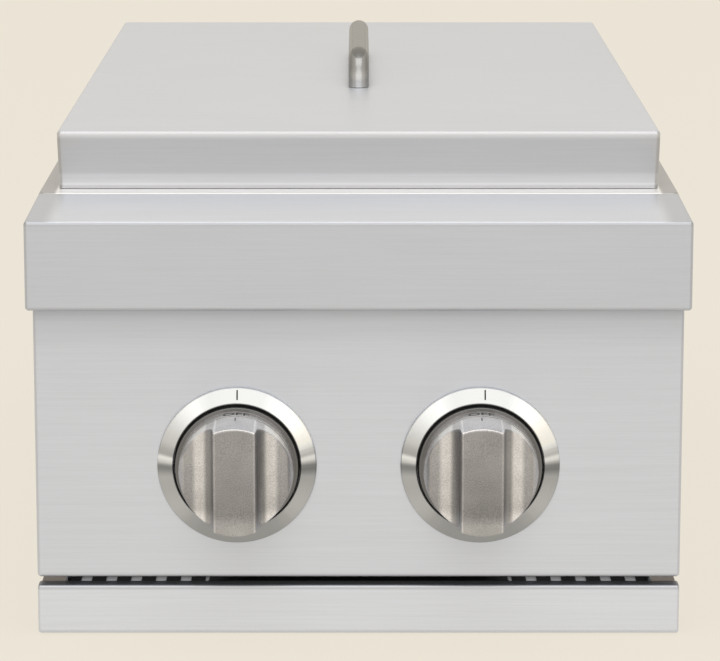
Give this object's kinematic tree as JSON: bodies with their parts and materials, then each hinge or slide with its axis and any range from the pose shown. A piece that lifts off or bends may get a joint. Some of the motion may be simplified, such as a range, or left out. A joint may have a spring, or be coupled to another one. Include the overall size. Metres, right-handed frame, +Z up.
{
  "type": "built-in side burner",
  "caption": "Built-in outdoor gas side burner with a lift-off lid, a front rail, turning push knobs in raised bezels, lift-out grates over ported burners and a slide-out drip tray.",
  "frame": {"origin": "middle of the footprint, on the plane of the bottom pan's underside", "axes": "+X to the right seen from the front, +Y to the back, +Z up; the knobs face -Y"},
  "size_m": [0.343, 0.678, 0.2786],
  "materials": {
    "brushed_steel": "satin stainless, brushed along X",
    "polished_steel": "fine satin stainless",
    "cast_metal": "satin cast metal, warm grey",
    "zinc_steel": "zinc plated steel",
    "vent_steel": "dull dark steel",
    "spring_steel": "bright spring wire",
    "brass": "machined brass",
    "aluminium": "cast aluminium",
    "black_enamel": "matt black enamel on cast iron",
    "black_plastic": "moulded black plastic",
    "ceramic": "white glazed ceramic",
    "silicone": "pale silicone sleeve"
  },
  "bodies": {
    "housing": {"front_rail": "brushed_steel", "control_panel": "brushed_steel", "deck_frame": "brushed_steel", "left_side_panel": "brushed_steel", "right_side_panel": "brushed_steel", "rear_panel": "brushed_steel", "bottom_pan": "brushed_steel", "firewall": "zinc_steel", "vent_plate": "vent_steel", "centre_cover": "vent_steel", "burner_pan": "brushed_steel", "manifold_pipe": "zinc_steel", "gas_inlet_pipe": "aluminium", "gas_inlet_fitting": "brass", "left_tray_runner": "zinc_steel", "right_tray_runner": "zinc_steel", "left_bezel": "polished_steel", "right_bezel": "polished_steel", "left_valve_bonnet": "zinc_steel", "right_valve_bonnet": "zinc_steel", "left_valve_body": "aluminium", "right_valve_body": "aluminium", "left_orifice": "brass", "right_orifice": "brass", "left_piezo": "black_plastic", "right_piezo": "black_plastic", "front_burner_body": "aluminium", "rear_burner_body": "aluminium", "front_burner_ring": "brass", "rear_burner_ring": "brass", "front_burner_support": "zinc_steel", "rear_burner_support": "zinc_steel", "front_electrode": "ceramic", "rear_electrode": "ceramic", "front_igniter_lead": "silicone", "rear_igniter_lead": "silicone"},
    "lid": {"lid_shell": "brushed_steel", "lid_handle": "polished_steel", "handle_front_screw": "zinc_steel", "handle_rear_screw": "zinc_steel"},
    "drip_tray": {"tray_front": "brushed_steel", "tray_pan": "brushed_steel"},
    "left_push": {"left_stem_washer": "zinc_steel", "left_stem_spring": "spring_steel"},
    "left_knob": {"left_valve_stem": "brass", "left_knob_skirt": "cast_metal", "left_knob_grip": "cast_metal"},
    "right_push": {"right_stem_washer": "zinc_steel", "right_stem_spring": "spring_steel"},
    "right_knob": {"right_valve_stem": "brass", "right_knob_skirt": "cast_metal", "right_knob_grip": "cast_metal"},
    "front_cap": {"front_burner_cap": "black_enamel"},
    "rear_cap": {"rear_burner_cap": "black_enamel"},
    "front_pot_grate": {"front_grate": "polished_steel"},
    "rear_pot_grate": {"rear_grate": "polished_steel"},
    "front_shutter": {"front_air_shutter": "zinc_steel"},
    "rear_shutter": {"rear_air_shutter": "zinc_steel"}
  },
  "joints": [
    {"name": "lid_lift", "type": "slide", "parent": "housing", "child": "lid", "axis": [0, 0, 1], "range_m": [0, 0.15]},
    {"name": "tray_slide", "type": "slide", "parent": "housing", "child": "drip_tray", "axis": [0, -1, 0], "range_m": [0, 0.45]},
    {"name": "left_stem_push", "type": "slide", "parent": "housing", "child": "left_push", "axis": [0, 1, 0], "range_m": [0, 0.003], "stiffness_N_per_m": 1500, "springref_m": -0.002, "deforming": ["left_stem_spring"]},
    {"name": "left_knob_turn", "type": "hinge", "parent": "left_push", "child": "left_knob", "pos_m": [-0.0634, -0.3, 0.0922], "axis": [0, -1, 0], "range_deg": [0, 210]},
    {"name": "right_stem_push", "type": "slide", "parent": "housing", "child": "right_push", "axis": [0, 1, 0], "range_m": [0, 0.003], "stiffness_N_per_m": 1500, "springref_m": -0.002, "deforming": ["right_stem_spring"]},
    {"name": "right_knob_turn", "type": "hinge", "parent": "right_push", "child": "right_knob", "pos_m": [0.0634, -0.3, 0.0922], "axis": [0, -1, 0], "range_deg": [0, 210]},
    {"name": "front_cap_lift", "type": "slide", "parent": "housing", "child": "front_cap", "axis": [0, 0, 1], "range_m": [0, 0.009]},
    {"name": "rear_cap_lift", "type": "slide", "parent": "housing", "child": "rear_cap", "axis": [0, 0, 1], "range_m": [0, 0.009]},
    {"name": "front_grate_lift", "type": "slide", "parent": "housing", "child": "front_pot_grate", "axis": [0, 0, 1], "range_m": [0, 0.018]},
    {"name": "rear_grate_lift", "type": "slide", "parent": "housing", "child": "rear_pot_grate", "axis": [0, 0, 1], "range_m": [0, 0.018]},
    {"name": "front_shutter_turn", "type": "hinge", "parent": "housing", "child": "front_shutter", "pos_m": [-0.0634, -0.2345, 0.0922], "axis": [0, 1, 0], "range_deg": [0, 60]},
    {"name": "rear_shutter_turn", "type": "hinge", "parent": "housing", "child": "rear_shutter", "pos_m": [0.0634, -0.2345, 0.0922], "axis": [0, 1, 0], "range_deg": [0, 60]}
  ]
}
